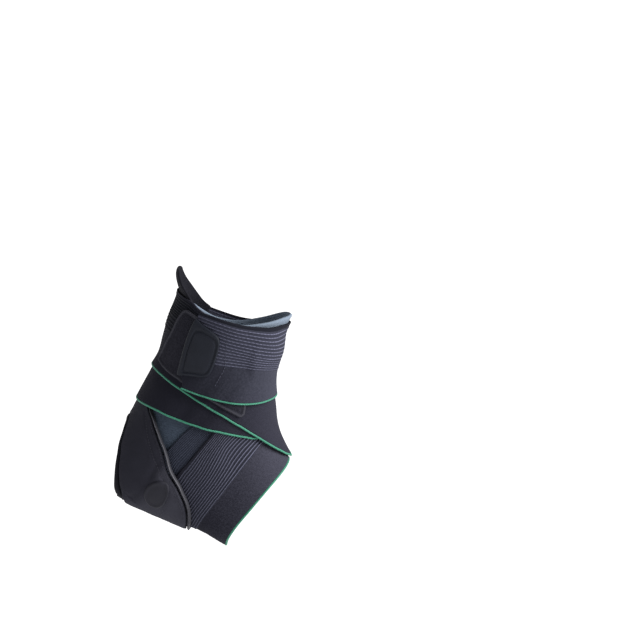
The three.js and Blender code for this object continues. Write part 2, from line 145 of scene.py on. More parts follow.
sections = columns(
    ("station", "gap", "depth", "width", "widest", "front_round", "back_round"),
    (
        (0.0, 0.6, 0.945, 1.0, 0.5, 2.1, 2.2),
        (0.107, 0.63, 0.895, 0.935, 0.5, 2.1, 2.2),
        (0.203, 0.648, 0.848, 0.895, 0.52, 2.1, 2.2),
        (0.336, 0.655, 0.86, 0.88, 0.52, 2.1, 2.2),
        (0.469, 0.642, 1.12, 0.92, 0.52, 2.1, 2.2),
        (0.54, 0.648, 1.375, 0.935, 0.52, 2.15, 2.2),
        (0.602, 0.668, 1.45, 0.935, 0.54, 2.2, 2.5),
        (0.664, 0.69, 1.235, 0.935, 0.58, 2.2, 2.7),
        (0.735, 0.714, 1.04, 0.945, 0.6, 2.2, 2.9),
        (0.868, 0.753, 0.85, 0.985, 0.6, 2.2, 2.9),
        (1.0, 0.821, 0.7, 1.07, 0.6, 2.2, 2.9),
    ),
)


def curve(xs, ys, x):
    """Smooth curve through the points of a table, read at x."""
    x = np.clip(x, xs[0], xs[-1])
    slopes = np.empty(len(xs))
    slopes[1:-1] = (ys[2:] - ys[:-2]) / (xs[2:] - xs[:-2])
    slopes[0] = (ys[1] - ys[0]) / (xs[1] - xs[0])
    slopes[-1] = (ys[-1] - ys[-2]) / (xs[-1] - xs[-2])
    i = np.clip(np.searchsorted(xs, x, side="right") - 1, 0, len(xs) - 2)
    span = xs[i + 1] - xs[i]
    t = (x - xs[i]) / span
    start = (t**3 - 2 * t**2 + t) * span * slopes[i]
    end = (t**3 - t**2) * span * slopes[i + 1]
    return ys[i] + (ys[i + 1] - ys[i]) * t * t * (3 - 2 * t) + start + end


def ease(x):
    """Smooth step from 0 to 1."""
    x = np.clip(x, 0, 1)
    return x * x * (3 - 2 * x)


def hollow(angle, station):
    """Points on the hollow at angles round it (0 front, 90 outer side) and stations down it."""
    part = {name: curve(sections["station"], sections[name], station) for name in sections}
    along = station * run
    rise = np.maximum(0, upper_run - along)
    turn = np.maximum(0, along - upper_run) / turn_radius
    depth = part["depth"] * hollow_depth
    front = depth * part["widest"]
    cosine = np.cos(np.radians(angle))
    sine = np.sin(np.radians(angle))
    roundness = np.where(cosine > 0, part["front_round"], part["back_round"])
    reach = np.where(cosine > 0, front, depth - front)
    forward = reach * np.sign(cosine) * np.abs(cosine) ** (2 / roundness)
    half = part["width"] * hollow_width / 2
    sideways = half * np.sign(sine) * np.abs(sine) ** (2 / roundness)
    radius = part["gap"] * turn_radius + front - forward
    x = pivot[0] - radius * np.cos(turn)
    z = pivot[1] + rise - radius * np.sin(turn)
    slope = ease((x - sole_slope[0]) / (sole_slope[1] - sole_slope[0]))
    sole = heel_sole + (front_sole - heel_sole) * slope
    return np.stack([x, -sideways, np.maximum(z, -sole)], -1)


def outward(angle, station):
    """Directions that point straight out of the hollow."""
    around = hollow(angle + 0.4, station) - hollow(angle - 0.4, station)
    down = hollow(angle, station + 0.001) - hollow(angle, station - 0.001)
    normal = np.cross(around, down)
    return normal / np.linalg.norm(normal, axis=-1, keepdims=True)


def skin(angle, station, height):
    """Points at a height over the hollow, in millimetres."""
    return hollow(angle, station) + outward(angle, station) * np.asarray(height)[..., None]


def folded_over(angle):
    """Angle of the matching place on the outer side."""
    return 180 - np.abs(180 - np.mod(angle, 360))


def edge(rows, drop=0):
    """An edge of cloth as a station for each angle, lowered on the inner side."""
    table = columns(("angle", "station"), rows)

    def read(angle):
        inner = np.maximum(0, -np.sin(np.radians(angle)))
        return curve(table["angle"], table["station"], folded_over(angle)) + drop * inner**2

    return read


grid_angle, grid_station = np.meshgrid(np.linspace(0, 360, 481), np.linspace(0, 1, 281), indexing="ij")
pile = np.zeros(grid_angle.shape)


def pile_height(angle, station):
    """Height over the hollow of all the cloth laid so far."""
    a = np.mod(angle, 360) / 360 * (pile.shape[0] - 1)
    s = np.clip(station, 0, 1) * (pile.shape[1] - 1)
    i = np.clip(a.astype(int), 0, pile.shape[0] - 2)
    j = np.clip(s.astype(int), 0, pile.shape[1] - 2)
    p = a - i
    q = s - j
    near = pile[i, j] * (1 - q) + pile[i, j + 1] * q
    far = pile[i + 1, j] * (1 - q) + pile[i + 1, j + 1] * q
    return near * (1 - p) + far * p


def pile_up(span, top, foot, thickness, lean=None):
    """Adds a strip of cloth to the pile, easing off past its edges."""
    turned = span[0] + np.mod(grid_angle - span[0], 360)
    nearer = np.where(turned - span[1] < span[0] + 360 - turned, span[1], span[0])
    angle = np.where(turned > span[1], nearer, turned)
    station = np.clip(grid_station, top(angle), foot(angle))
    distance = np.linalg.norm(hollow(grid_angle, grid_station) - hollow(angle, station), axis=-1)
    level = pile_height(angle, station) + thickness + (lean(station) if lean else 0)
    share = 1 - ease((distance - edge_margin) / edge_fall)
    pile[:] = pile + share * np.maximum(0, level - pile)


def rounded(distance, radius):
    """How far a cloth's face draws in near an edge, as a share of the radius of that edge."""
    share = 1 - np.clip(distance / radius, 0, 1)
    return 1 - np.sqrt(np.clip(1 - share**2, 0, 1))


def wall_of_cloth(name, outer, inner, ring, across):
    """Closed wall between two grids of points, mapped along and across in tenths of a metre."""
    count, rows = outer.shape[:2]
    inner_rows = inner.shape[1]
    middle = outer[:, rows // 2]
    steps = np.linalg.norm(np.roll(middle, -1, axis=0) - middle, axis=1)
    along = np.concatenate([[0], np.cumsum(steps)]) * 0.01
    inner_across = np.interp(np.linspace(0, 1, inner_rows), np.linspace(0, 1, rows), across)
    spans = np.arange(count if ring else count - 1)
    faces = []
    corners = []
    sides = ((0, rows, across, 1), (count * rows, inner_rows, inner_across, -1))
    for start, height, levels, turned in sides:
        column, row = (part.ravel() for part in np.meshgrid(spans, np.arange(height - 1), indexing="ij"))
        a = start + column * height + row
        b = start + (column + 1) % count * height + row
        faces.append(np.stack([a, b, b + 1, a + 1], 1)[:, ::turned])
        u = np.stack([along[column], along[column + 1], along[column + 1], along[column]], 1)
        v = np.stack([levels[row], levels[row], levels[row + 1], levels[row + 1]], 1) * 0.01
        corners.append(np.stack([u, v], 2)[:, ::turned])
    for row, inner_row, turned in ((0, 0, 1), (rows - 1, inner_rows - 1, -1)):
        a = spans * rows + row
        b = (spans + 1) % count * rows + row
        c = count * rows + (spans + 1) % count * inner_rows + inner_row
        d = count * rows + spans * inner_rows + inner_row
        faces.append(np.stack([a, d, c, b], 1)[:, ::turned])
        u = np.stack([along[spans], along[spans], along[spans + 1], along[spans + 1]], 1)
        corners.append(np.stack([u, np.full(u.shape, across[row] * 0.01)], 2)[:, ::turned])
    if not ring:
        j = np.arange(rows - 1)
        for column, turned in ((0, 1), (count - 1, -1)):
            a = column * rows + j
            d = count * rows + a
            faces.append(np.stack([a, a + 1, d + 1, d], 1)[:, ::turned])
            v = np.stack([across[j], across[j + 1], across[j + 1], across[j]], 1) * 0.01
            corners.append(np.stack([np.full(v.shape, along[column]), v], 2)[:, ::turned])
    points = np.concatenate([outer.reshape(-1, 3), inner.reshape(-1, 3)]) * mm
    return mesh_piece(name, points, np.concatenate(faces), np.concatenate(corners))


def mesh_piece(name, points, faces, corners):
    """A smooth piece from points and faces, with a cloth map."""
    mesh = bpy.data.meshes.new(name)
    mesh.from_pydata(points.tolist(), [], faces.tolist())
    mesh.uv_layers.new(name="cloth").data.foreach_set("uv", corners.ravel())
    mesh.polygons.foreach_set("use_smooth", [True] * len(faces))
    piece = bpy.data.objects.new(name, mesh)
    bpy.context.collection.objects.link(piece)
    return piece


def lay_cloth(
    name, span, top, foot, wall, rows, width, step,
    face=None, lean=None, slant=None, middle=None, gap=layer_gap, inner_rows=14,
):
    """Lays a strip of cloth over the pile, its rows in millimetres from its top. Gives its hem too."""
    ring = span[1] - span[0] == 360
    count = round((span[1] - span[0]) / step)
    angles = np.linspace(span[0], span[1], count + 1)[: count if ring else None]
    levels = np.linspace(0, width, inner_rows) if ring else rows
    grids = []
    for level, raised in ((rows, True), (levels, False)):
        laid, across = np.meshgrid(angles, level, indexing="ij")
        angle = slant(laid, across) if slant else laid
        if middle:
            turn, line = middle
            upper = top(angle) + (line(angle) - top(angle)) * across / turn
            lower = line(angle) + (foot(angle) - line(angle)) * (across - turn) / (width - turn)
            station = np.where(across < turn, upper, lower)
        else:
            station = top(angle) + (foot(angle) - top(angle)) * across / width
        height = pile_height(angle, station) + gap + (lean(station) if lean else 0)
        if raised:
            inset = np.minimum(across, width - across)
            if not ring:
                inset = np.minimum(inset, np.minimum(laid - span[0], span[1] - laid) * mm_per_degree)
            relief = face(angle, across) if face else 0
            height = height + wall * (1 - rounded(inset, wall * 0.6) / 2) + relief
        elif gap:
            height = height - bedding
        grids.append(skin(angle, station, height))
    piece = wall_of_cloth(name, grids[0], grids[1], ring, np.asarray(rows, float))
    if slant:
        angles = slant(angles, np.full(count + 1, float(width)))
    station = foot(angles)
    hem_height = pile_height(angles, station) + gap + wall / 2
    hem = skin(angles, station, hem_height), outward(angles, station), ring
    pile_up(span, top, foot, gap + wall, lean)
    return piece, hem


def rows_across(width, step, fold):
    """Rows of points across a cloth, closer together at its folded edges."""
    near = np.array([0, 0.12, 0.35, 0.65, 1]) * fold
    middle = np.linspace(fold, width - fold, max(2, round((width - 2 * fold) / step)) + 1)[1:-1]
    return np.concatenate([near, middle, (width - near)[::-1]])


def shade(red, green, blue):
    """A colour as read on a screen, turned into light."""
    parts = [part / 255 for part in (red, green, blue)]
    return tuple(part / 12.92 if part < 0.04 else ((part + 0.055) / 1.055) ** 2.4 for part in parts) + (1,)


def open_finish(name, roughness, sheen, specular=0.04):
    """Starts a material and gives it with its node tree and its shader."""
    finish = bpy.data.materials.new(name)
    finish.use_nodes = True
    shader = finish.node_tree.nodes["Principled BSDF"]
    shader.inputs["Roughness"].default_value = roughness
    shader.inputs["Sheen Weight"].default_value = sheen
    shader.inputs["Sheen Roughness"].default_value = 0.5
    shader.inputs["Specular IOR Level"].default_value = specular
    return finish, finish.node_tree, shader


def worked(tree, operation, *values):
    """One step of arithmetic between sockets and numbers."""
    node = tree.nodes.new("ShaderNodeMath")
    node.operation = operation
    for socket, value in zip(node.inputs, values):
        if isinstance(value, (int, float)):
            socket.default_value = value
        else:
            tree.links.new(value, socket)
    return node.outputs[0]


def blended(tree, share, first, second):
    """Mix of two colours by a share."""
    node = tree.nodes.new("ShaderNodeMix")
    node.data_type = "RGBA"
    tree.links.new(share, node.inputs["Factor"])
    for name, value in (("A", first), ("B", second)):
        socket = [s for s in node.inputs if s.name == name and s.type == "RGBA"][0]
        if isinstance(value, tuple):
            socket.default_value = value
        else:
            tree.links.new(value, socket)
    return [s for s in node.outputs if s.type == "RGBA"][0]


def object_place(tree):
    """Place in the brace, in metres."""
    return tree.nodes.new("ShaderNodeTexCoord").outputs["Object"]


def parts_of(tree, place):
    """The X, Y and Z of a place."""
    split = tree.nodes.new("ShaderNodeSeparateXYZ")
    tree.links.new(place, split.inputs[0])
    return split.outputs


def speckle(tree, scale, detail=2.0):
    """Even noise through a piece."""
    noise = tree.nodes.new("ShaderNodeTexNoise")
    noise.inputs["Scale"].default_value = scale
    noise.inputs["Detail"].default_value = detail
    tree.links.new(object_place(tree), noise.inputs["Vector"])
    return noise.outputs["Fac"]


def cloth_place(tree):
    """Millimetres along and across the cloth."""
    place = tree.nodes.new("ShaderNodeUVMap")
    place.uv_map = "cloth"
    parts = parts_of(tree, place.outputs["UV"])
    return [worked(tree, "MULTIPLY", parts[i], 100) for i in (0, 1)]


def waves(tree, distance, pitch):
    """Waves from 0 to 1, a pitch apart, along a distance."""
    turned = worked(tree, "MULTIPLY", distance, 2 * math.pi / pitch)
    return worked(tree, "MULTIPLY_ADD", worked(tree, "COSINE", turned), 0.5, 0.5)


def raise_pattern(tree, shader, height, depth, strength=1.0):
    """Gives a material a raised pattern of one depth in metres."""
    bump = tree.nodes.new("ShaderNodeBump")
    bump.inputs["Strength"].default_value = strength
    bump.inputs["Distance"].default_value = depth
    tree.links.new(height, bump.inputs["Height"])
    tree.links.new(bump.outputs["Normal"], shader.inputs["Normal"])


knit_pitch = 0.9
hem_highlight_colour = (118, 130, 145)


def knit_finish(name, dark, light, pale_hem_highlight=0):
    """Soft knit: courses of fine loops with a little mottling, paler towards its top hem: partly a lighter
    hem knit, partly painted highlight.
    """
    finish, tree, shader = open_finish(name, 0.95, 0.03)
    along, across = cloth_place(tree)
    loops = waves(tree, along, knit_pitch)
    courses = waves(tree, worked(tree, "MULTIPLY_ADD", loops, knit_pitch * 0.3, across), knit_pitch)
    pattern = worked(tree, "MULTIPLY", courses, worked(tree, "MULTIPLY_ADD", loops, 0.5, 0.5))
    mottle = worked(tree, "MULTIPLY_ADD", speckle(tree, 700), 1.2, -0.35)
    share = worked(tree, "MULTIPLY_ADD", pattern, 0.4, mottle)
    colour = blended(tree, share, shade(*dark), shade(*light))
    # Paler near the top hem: partly a lighter knit, partly painted highlight where the top catches the
    # light.
    if pale_hem_highlight:
        below = worked(tree, "DIVIDE", across, pale_hem_highlight)
        near = worked(tree, "MAXIMUM", worked(tree, "SUBTRACT", 1.0, below), 0.0)
        colour = blended(tree, worked(tree, "POWER", near, 0.5), colour, shade(*hem_highlight_colour))
    tree.links.new(colour, shader.inputs["Base Color"])
    raise_pattern(tree, shader, worked(tree, "MULTIPLY_ADD", mottle, 0.4, pattern), 0.0003, 0.7)
    return finish


def finish_piece(piece, finish, slot, *nodes):
    """Gives a piece its finish and body, in place of its nodes. The slot is not used."""
    piece.data.materials.append(finish)
    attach(piece, "root")
    if nodes:
        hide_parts(*nodes)


sleeve_top = edge(
    ((0, 0.045), (27, 0.056), (54, 0.092), (80, 0.13), (100, 0.147), (118, 0.15), (180, 0.15)), inner_drop
)
sleeve_foot = edge(((0, 0.833), (90, 0.825), (180, 0.848)))
sleeve_length = 130
sleeve_columns = 240
heel_cut = 0.055
heel_centre = (180, 0.568)
heel_reach = (40, 0.06)
hem_highlight_width = 12

heel_edges = columns(
    ("share", "heel_angle", "heel_station", "outer_angle", "outer_station"),
    (
        (0, 180, 0.494, 180, 0.406),
        (0.08, 172, 0.4955, 166, 0.411),
        (0.16, 164.5, 0.502, 154.5, 0.427),
        (0.24, 157, 0.518, 140, 0.453),
        (0.32, 152, 0.535, 124, 0.488),
        (0.4, 148.5, 0.552, 109, 0.528),
        (0.48, 146.8, 0.57, 98.9, 0.574),
        (0.55, 147.2, 0.585, 96.8, 0.614),
        (0.62, 150.5, 0.597, 99.8, 0.656),
        (0.71, 157.5, 0.607, 109, 0.707),
        (0.8, 164.5, 0.612, 125, 0.742),
        (0.9, 172, 0.615, 148, 0.759),
        (1, 180, 0.617, 180, 0.761),
    ),
)


def heel_place(turn, out):
    """Angle and station: a share of the way round the open heel and a share of the way out."""
    half = 1 - np.abs(1 - 2 * turn)
    read = {name: curve(heel_edges["share"], heel_edges[name], half) for name in heel_edges}
    folded = read["heel_angle"] + (read["outer_angle"] - read["heel_angle"]) * out
    station = read["heel_station"] + (read["outer_station"] - read["heel_station"]) * out
    return np.where(turn > 0.5, 360 - folded, folded), station


def from_heel(angle, station):
    """Bearing and reach of places from the middle of the heel opening."""
    sideways = (angle - heel_centre[0]) / heel_reach[0]
    down = (station - heel_centre[1]) / heel_reach[1]
    return np.arctan2(down, sideways), np.hypot(down, sideways)


def cut_heel(piece, columns_round, rows_down, out):
    """Cuts the heel opening out of the sleeve, and draws its closed edge to the outline."""
    rim_bearing, rim_reach = from_heel(*heel_place(np.linspace(0, 1, 181)[:-1], out))
    order = np.argsort(rim_bearing)
    angle, across = np.meshgrid(
        np.linspace(0, 360, columns_round + 1)[:-1], rows_down / rows_down[-1], indexing="ij"
    )
    station = sleeve_top(angle) + (sleeve_foot(angle) - sleeve_top(angle)) * across
    bearing, reach = from_heel(angle.ravel(), station.ravel())
    limit = np.interp(bearing, rim_bearing[order], rim_reach[order], period=2 * math.pi)
    half = len(reach)
    mesh = piece.data
    faces = np.array([list(p.vertices) for p in mesh.polygons])
    corners = np.empty(len(mesh.loops) * 2)
    mesh.uv_layers["cloth"].data.foreach_get("uv", corners)
    corners = corners.reshape(-1, 4, 2)
    points = np.empty(len(mesh.vertices) * 3)
    mesh.vertices.foreach_get("co", points)
    points = points.reshape(-1, 3)
    inside = (reach < limit)[faces % half].all(1) | ((reach[faces % half] < limit[faces % half]).sum(1) > 2)
    kept, kept_corners = faces[~inside], corners[~inside]
    outer = kept[(kept < half).all(1)]
    edges = dict.fromkeys((face[i], face[(i + 1) % 4]) for face in outer for i in range(4))
    rows = len(rows_down)
    within = range(1, rows - 1)
    rim = [
        (a, b) for a, b in edges
        if (b, a) not in edges and a % rows in within and b % rows in within
    ]
    walls = np.array([(b, a, a + half, b + half) for a, b in rim])
    drawn = np.unique(np.array(rim))
    scale = limit[drawn] / reach[drawn]
    drawn_angle = heel_centre[0] + (angle.ravel()[drawn] - heel_centre[0]) * scale
    drawn_station = heel_centre[1] + (station.ravel()[drawn] - heel_centre[1]) * scale
    points[drawn] = skin(drawn_angle, drawn_station, np.full(len(drawn), sleeve_wall)) * mm
    points[drawn + half] = skin(drawn_angle, drawn_station, np.zeros(len(drawn))) * mm
    faces = np.concatenate([kept, walls])
    wall_corners = np.zeros((len(walls), 4, 2))
    used = np.unique(faces)
    renamed = np.zeros(len(points), int)
    renamed[used] = np.arange(len(used))
    name = piece.name
    bpy.data.objects.remove(piece)
    return mesh_piece(name, points[used], renamed[faces], np.concatenate([kept_corners, wall_corners]))


sleeve_rows = rows_across(sleeve_length, 1.3, 2)
inner_sleeve, _ = lay_cloth(
    "inner_sleeve_knit", (0, 360), sleeve_top, sleeve_foot, sleeve_wall, sleeve_rows, sleeve_length,
    360 / sleeve_columns,
    gap=0, inner_rows=len(sleeve_rows),
)
inner_sleeve = cut_heel(inner_sleeve, sleeve_columns, sleeve_rows, heel_cut)
sleeve_finish = knit_finish("blue_grey_knit", (54, 62, 74), (72, 82, 96), hem_highlight_width)
finish_piece(inner_sleeve, sleeve_finish, "lining", "inner_sleeve")

# Rear collar. A soft dark tongue, knitted and sewn inside the back of the elastic. It rises above
# the elastic and leans out at its free top, as a grip for pulling the brace on.
collar_wall = 1.6
collar_flare = 9
flare_start = 0.15
flare_rise = 0.1
collar_width = 34
collar_top = edge(((110, 0.165), (125, 0.148), (135, 0.128), (150, 0.09), (165, 0.05), (180, 0.044)))
collar_foot = edge(((110, 0.23), (180, 0.24)))


def flare(station):
    """How far the free top of the collar leans out."""
    return collar_flare * ease((flare_start - station) / flare_rise)


rear_collar, _ = lay_cloth(
    "rear_collar_knit", (112.5, 247.5), collar_top, collar_foot, collar_wall,
    rows_across(collar_width, 1, 1.5), collar_width, 1, lean=flare,
)
finish_piece(rear_collar, knit_finish("dark_knit", (18, 18, 23), (34, 34, 41)), "collar", "rear_collar")

# Gussets. A panel of fine ribbed elastic on each side, sewn into the lower half of the sleeve
# and running forwards under the foot elastic.
band_wall = 1.3
gusset_width = 28
gusset_ribs = (0.8, 27.2, 16)
gusset_top = edge((
    (48, 0.37), (60, 0.4), (75, 0.453), (90.5, 0.515), (101, 0.561), (115, 0.6), (130, 0.61),
))
gusset_foot = edge(((48, 0.46), (60, 0.49), (75, 0.592), (96.5, 0.675), (115, 0.69), (130, 0.69)))


def ribs(across, zone, height, sharpness=0.8):
    """Height of the ribs that run along a zone of the cloth: its start, its end and their number."""
    phase = (across - zone[0]) / (zone[1] - zone[0]) * zone[2]
    inside = (phase > 0) & (phase < zone[2])
    return np.where(inside, height * np.abs(np.sin(np.pi * phase)) ** sharpness, 0)


def ribbed_rows(width, zone, per_rib, step, fold=1.2):
    """Rows of points with the same number on every rib of a zone."""
    ribbed = np.linspace(zone[0], zone[1], zone[2] * per_rib + 1)
    plain = rows_across(width, step, fold)
    apart = np.minimum(np.abs(plain - zone[0]), np.abs(plain - zone[1]))
    beside = plain[((plain < zone[0]) | (plain > zone[1])) & (apart > 0.1)]
    return np.sort(np.concatenate([ribbed, beside]))


# Painted light on the elastic: where its lighter toe side starts and how far it runs, in metres.
light_offset = 0.012
light_fade_run = 0.06


def held_in(tree, value, least):
    """A value kept between a least one and 1."""
    return worked(tree, "MAXIMUM", worked(tree, "MINIMUM", value, 1.0), least)


def toe_side_light(tree):
    """Painted light: a share that rises towards the toe and the top of the brace, where the lamp falls."""
    place = parts_of(tree, object_place(tree))
    upward = worked(tree, "MULTIPLY_ADD", place["Z"], math.sin(toe_pitch), light_offset)
    forward = worked(tree, "MULTIPLY_ADD", place["X"], math.cos(toe_pitch), upward)
    return held_in(tree, worked(tree, "DIVIDE", forward, light_fade_run), 0.0)


def elastic_finish(name, plain, crest, groove, zone, dash=0, hem=0, crest_power=4.5):
    """Woven elastic: ribs along a zone of it, whole or broken into dashes, and a fine plain weave, with
    painted light that makes it paler towards the toe and the top.
    """
    finish, tree, shader = open_finish(name, 0.85, 0.02)
    along, across = cloth_place(tree)
    pitch = (zone[1] - zone[0]) / zone[2]
    from_start = worked(tree, "SUBTRACT", across, zone[0])
    rib = worked(tree, "SUBTRACT", 1.0, waves(tree, from_start, pitch))
    inside = worked(tree, "MULTIPLY", worked(tree, "GREATER_THAN", across, zone[0]),
                    worked(tree, "LESS_THAN", across, zone[1]))
    top = worked(tree, "POWER", rib, crest_power)
    toe_lit_share = toe_side_light(tree)
    if dash:
        number = worked(tree, "FLOOR", worked(tree, "DIVIDE", from_start, pitch))
        shifted = worked(tree, "MULTIPLY_ADD", number, dash * 0.618, along)
        broken = worked(tree, "SUBTRACT", 1.0, worked(tree, "POWER", waves(tree, shifted, dash), 3.0))
        uneven = worked(tree, "MULTIPLY_ADD", speckle(tree, 300), 0.7, 0.12)
        top = worked(tree, "MULTIPLY", top, worked(tree, "MULTIPLY_ADD", broken, 0.58, uneven))
    weave_along = waves(tree, worked(tree, "MULTIPLY_ADD", across, 0.5, along), 0.9)
    weave = worked(tree, "MULTIPLY", weave_along, waves(tree, across, 0.8))
    mottle = worked(tree, "MULTIPLY_ADD", speckle(tree, 900, 3.0), 1.2, -0.6)
    # Painted light: the plain weave and the rib crests are paler towards the toe and the top.
    woven = worked(tree, "MULTIPLY_ADD", weave, 0.5, worked(tree, "MULTIPLY_ADD", toe_lit_share, 1.1, -0.35))
    share = worked(tree, "ADD", woven, mottle)
    smooth = blended(tree, share, shade(*plain[0]), shade(*plain[1]))
    crest_in_light = worked(tree, "MULTIPLY", top, worked(tree, "MULTIPLY_ADD", toe_lit_share, 0.65, 0.35))
    rib_share = worked(tree, "ADD", crest_in_light, worked(tree, "MULTIPLY", mottle, 0.25))
    ribbed = blended(tree, rib_share, shade(*groove), shade(*crest))
    colour = blended(tree, inside, smooth, ribbed)
    if hem:
        hemmed = worked(tree, "LESS_THAN", across, hem)
        folded = tuple(part * 0.4 for part in shade(*groove)[:3]) + (1,)
        colour = blended(tree, hemmed, colour, folded)
    tree.links.new(colour, shader.inputs["Base Color"])
    fine = waves(tree, along, 0.7)
    raised = worked(tree, "MULTIPLY_ADD", worked(tree, "MULTIPLY", top, inside), 1.0,
                    worked(tree, "MULTIPLY_ADD", fine, 0.12, worked(tree, "MULTIPLY", weave, 0.35)))
    raise_pattern(tree, shader, raised, 0.0003, 0.8)
    return finish


gusset_finish = elastic_finish(
    "fine_ribbed_elastic", ((42, 45, 56), (60, 64, 77)), (74, 79, 95), (43, 46, 57), gusset_ribs
)
for side, span in (("outer", (52.5, 127.5)), ("inner", (232.5, 307.5))):
    gusset, _ = lay_cloth(
        "gusset_" + side + "_elastic", span, gusset_top, gusset_foot, band_wall,
        ribbed_rows(gusset_width, gusset_ribs, 6, 1), gusset_width, 0.75,
        face=lambda angle, across: ribs(across, gusset_ribs, 0.25),
    )
    finish_piece(gusset, gusset_finish, "gusset", "gusset_" + side)

# Foot wrap. The first turn of the elastic band, round the front of the brace: a ribbed half over
# the instep and a plain half towards the toes, with a green cord sewn along its toe edge.
band_width = 52
foot_ribs = (1.6, 31, 17)
foot_top = edge((
    (0, 0.385), (30, 0.406), (50, 0.43), (63.1, 0.4856), (67.8, 0.517), (72.5, 0.545), (77.6, 0.57),
    (83.1, 0.593), (89.2, 0.612), (95.8, 0.629), (107.5, 0.643), (124, 0.6555), (149.4, 0.6676),
    (180, 0.675),
))
foot_middle = edge((
    (0, 0.672), (33.4, 0.6815), (51.9, 0.705), (64.4, 0.7203), (74.8, 0.7317), (81.9, 0.739),
    (87.9, 0.7451), (93, 0.751), (100.8, 0.7565), (114, 0.763), (136, 0.773), (180, 0.779),
))
foot_foot = edge((
    (0, 0.842), (25, 0.843), (44, 0.841), (59, 0.839), (72, 0.8385), (84, 0.8388), (94, 0.8395),
    (105, 0.841), (125, 0.8465), (146, 0.8555), (180, 0.862),
))
cord_radius = 0.75


def edge_cord(name, hem, radius, sides=10):
    """Round cord that lies against the hem of a cloth, mapped along and round it."""
    points, up, ring = hem
    count = len(points)
    after = np.roll(points, -1, axis=0)
    before = np.roll(points, 1, axis=0)
    if not ring:
        after[-1] = points[-1]
        before[0] = points[0]
    along = after - before
    along /= np.linalg.norm(along, axis=1, keepdims=True)
    side = np.cross(up, along)
    side /= np.linalg.norm(side, axis=1, keepdims=True)
    centre = points + side * radius * 0.8
    turn = 2 * math.pi * (np.arange(sides) + 0.5) / sides
    round_it = up[:, None] * np.cos(turn)[None, :, None] + side[:, None] * np.sin(turn)[None, :, None]
    grid = centre[:, None] + round_it * radius
    spans = np.arange(count if ring else count - 1)
    column, corner = (part.ravel() for part in np.meshgrid(spans, np.arange(sides), indexing="ij"))
    beyond = (column + 1) % count
    next_corner = (corner + 1) % sides
    faces = np.stack([column * sides + corner, beyond * sides + corner,
                      beyond * sides + next_corner, column * sides + next_corner], 1)
    steps = np.linalg.norm(np.roll(points, -1, axis=0) - points, axis=1)
    length = np.concatenate([[0], np.cumsum(steps)]) * 0.01
    u = np.stack([length[column], length[column + 1], length[column + 1], length[column]], 1)
    v = np.stack([corner, corner, corner + 1, corner + 1], 1) * (2 * math.pi * radius / sides * 0.01)
    corners = np.stack([u, v], 2)
    if not ring:
        fan = np.array([(0, 1 + 2 * k, 2 + 2 * k, 3 + 2 * k) for k in range(sides // 2 - 1)])
        faces = np.concatenate([faces, fan, (fan + (count - 1) * sides)[:, ::-1]])
        corners = np.concatenate([corners, np.zeros((2 * len(fan), 4, 2))])
    return mesh_piece(name, grid.reshape(-1, 3) * mm, faces, corners)


def cord_finish(name, dark, light):
    """Braided cord: fine slanting strands with a slight gloss."""
    finish, tree, shader = open_finish(name, 0.6, 0.05, 0.25)
    along, round_it = cloth_place(tree)
    strand = waves(tree, worked(tree, "MULTIPLY_ADD", round_it, 1.4, along), 1.3)
    share = worked(tree, "MULTIPLY_ADD", strand, 0.7, worked(tree, "MULTIPLY", speckle(tree, 800), 0.3))
    tree.links.new(blended(tree, share, shade(*dark), shade(*light)), shader.inputs["Base Color"])
    raise_pattern(tree, shader, strand, 0.0002, 0.6)
    return finish


green_cord = cord_finish("green_braid", (38, 104, 82), (72, 146, 120))


def sew_cord(node, hem, radius=cord_radius):
    """Sews the green cord of a node along a hem."""
    finish_piece(edge_cord(node + "_cord", hem, radius), green_cord, "piping", node)


def lay_band(name, span, top, middle, foot, zone, height, step=1, slant=None):
    """Lays a turn of the elastic band, with ribs down to its middle line."""
    return lay_cloth(
        name, span, top, foot, band_wall, ribbed_rows(band_width, zone, 6, 1.2), band_width, step,
        face=lambda angle, across: ribs(across, zone, height), slant=slant, middle=(zone[1], middle),
    )


foot_wrap, foot_hem = lay_band(
    "foot_wrap_elastic", (0, 360), foot_top, foot_middle, foot_foot, foot_ribs, 0.35
)
foot_finish = elastic_finish(
    "foot_elastic", ((29, 29, 37), (60, 60, 71)), (108, 109, 129), (37, 38, 47), foot_ribs, crest_power=5.5
)
finish_piece(foot_wrap, foot_finish, "elastic", "foot_wrap")
sew_cord("foot_piping", foot_hem)

# Heel panel. A smooth moulded panel that runs down both sides of the open heel and under it. Its
# heel edge and its front edge are bound, its front seam is stitched, and a shaped pad shows in it.
panel_wall = 2.2
panel_relief = 0.4
panel_width = 46
panel_fold = 1.2
panel_steps = 300
panel_spread = (0.13, 0.955)
sole_face = 73.2
sole_level = 0.985
pad_crease = (
    (143, 0.59), (145, 0.612), (141, 0.625), (131, 0.624), (120, 0.618), (111, 0.606), (104, 0.585),
)
seam_line = (
    (140, 0.47), (124, 0.512), (113.5, 0.547), (105, 0.588), (103, 0.62), (107, 0.64), (115.5, 0.667),
    (128, 0.68), (143, 0.69), (158, 0.694),
)
front_seam = (
    (128, 0.487), (110.5, 0.535), (102.5, 0.575), (100.5, 0.623), (108.5, 0.676), (118.5, 0.71),
    (132, 0.735),
)
grooves = ((seam_line, 1.1, 0.35), (front_seam, 0.8, 0.25), (pad_crease, 2.6, 0.9))


def traced(rows, count=60):
    """Smooth row of places through the rows of a table."""
    steps = np.arange(len(rows), dtype=float)
    at = np.linspace(0, len(rows) - 1, count)
    table = columns(("angle", "station"), rows)
    return curve(steps, table["angle"], at), curve(steps, table["station"], at)


